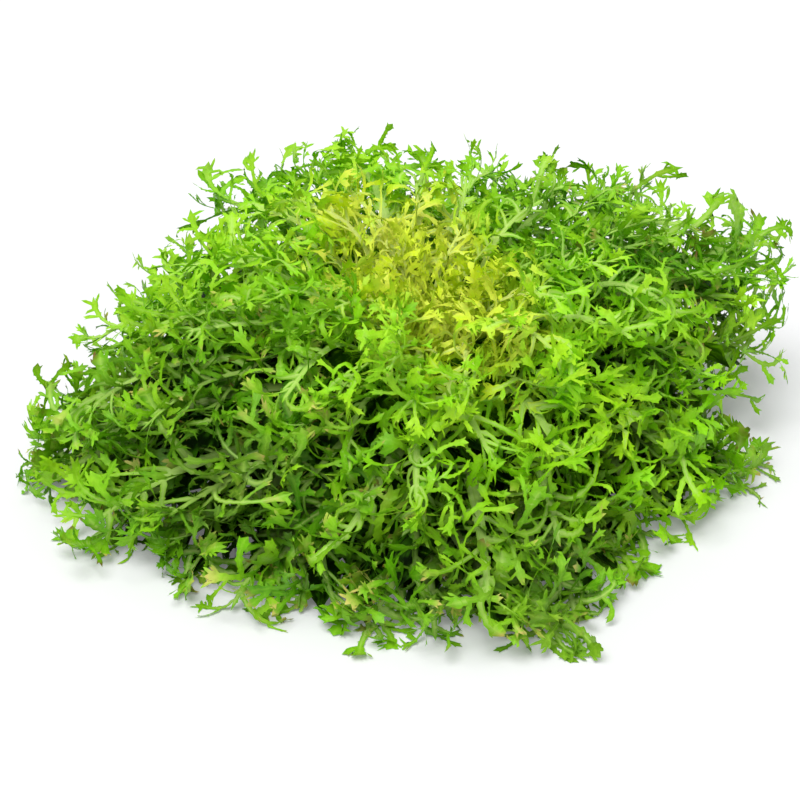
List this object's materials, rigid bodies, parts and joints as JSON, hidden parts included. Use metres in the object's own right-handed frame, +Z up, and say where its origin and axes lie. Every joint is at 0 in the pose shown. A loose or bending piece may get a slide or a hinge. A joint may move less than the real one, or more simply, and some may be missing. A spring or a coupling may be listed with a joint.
{
  "type": "curly endive head",
  "caption": "Loose spreading head of curly endive: finely cut, frizzy green leaves arch out from a short pale crown round a yellow heart.",
  "frame": {"origin": "middle of the head's footprint on the table, at the height of the crown's cut face", "axes": "+Z up from the cut face to the heart, +X along the head's greatest width, +Y away from the viewer of its front"},
  "size_m": [0.362, 0.3136, 0.135],
  "materials": {
    "crown": "matte",
    "foot_leaf": "satin",
    "skirt_leaf": "satin",
    "outer_leaf": "satin",
    "middle_leaf": "satin",
    "inner_leaf": "satin",
    "heart_leaf": "satin",
    "bud_leaf": "satin"
  },
  "bodies": {
    "root": {"crown": "crown", "foot_leaf_01": "foot_leaf", "foot_leaf_02": "foot_leaf", "foot_leaf_03": "foot_leaf", "foot_leaf_04": "foot_leaf", "foot_leaf_05": "foot_leaf", "foot_leaf_06": "foot_leaf", "foot_leaf_07": "foot_leaf", "foot_leaf_08": "foot_leaf", "foot_leaf_09": "foot_leaf", "foot_leaf_10": "foot_leaf", "foot_leaf_11": "foot_leaf", "skirt_leaf_01": "skirt_leaf", "skirt_leaf_02": "skirt_leaf", "skirt_leaf_03": "skirt_leaf", "skirt_leaf_04": "skirt_leaf", "skirt_leaf_05": "skirt_leaf", "skirt_leaf_06": "skirt_leaf", "skirt_leaf_07": "skirt_leaf", "skirt_leaf_08": "skirt_leaf", "skirt_leaf_09": "skirt_leaf", "skirt_leaf_10": "skirt_leaf", "skirt_leaf_11": "skirt_leaf", "outer_leaf_01": "outer_leaf", "outer_leaf_02": "outer_leaf", "outer_leaf_03": "outer_leaf", "outer_leaf_04": "outer_leaf", "outer_leaf_05": "outer_leaf", "outer_leaf_06": "outer_leaf", "outer_leaf_07": "outer_leaf", "outer_leaf_08": "outer_leaf", "outer_leaf_09": "outer_leaf", "outer_leaf_10": "outer_leaf", "middle_leaf_01": "middle_leaf", "middle_leaf_02": "middle_leaf", "middle_leaf_03": "middle_leaf", "middle_leaf_04": "middle_leaf", "middle_leaf_05": "middle_leaf", "middle_leaf_06": "middle_leaf", "middle_leaf_07": "middle_leaf", "middle_leaf_08": "middle_leaf", "middle_leaf_09": "middle_leaf", "inner_leaf_01": "inner_leaf", "inner_leaf_02": "inner_leaf", "inner_leaf_03": "inner_leaf", "inner_leaf_04": "inner_leaf", "inner_leaf_05": "inner_leaf", "inner_leaf_06": "inner_leaf", "inner_leaf_07": "inner_leaf", "inner_leaf_08": "inner_leaf", "heart_leaf_01": "heart_leaf", "heart_leaf_02": "heart_leaf", "heart_leaf_03": "heart_leaf", "heart_leaf_04": "heart_leaf", "heart_leaf_05": "heart_leaf", "heart_leaf_06": "heart_leaf", "bud_leaf_01": "bud_leaf", "bud_leaf_02": "bud_leaf", "bud_leaf_03": "bud_leaf"}
  },
  "joints": []
}
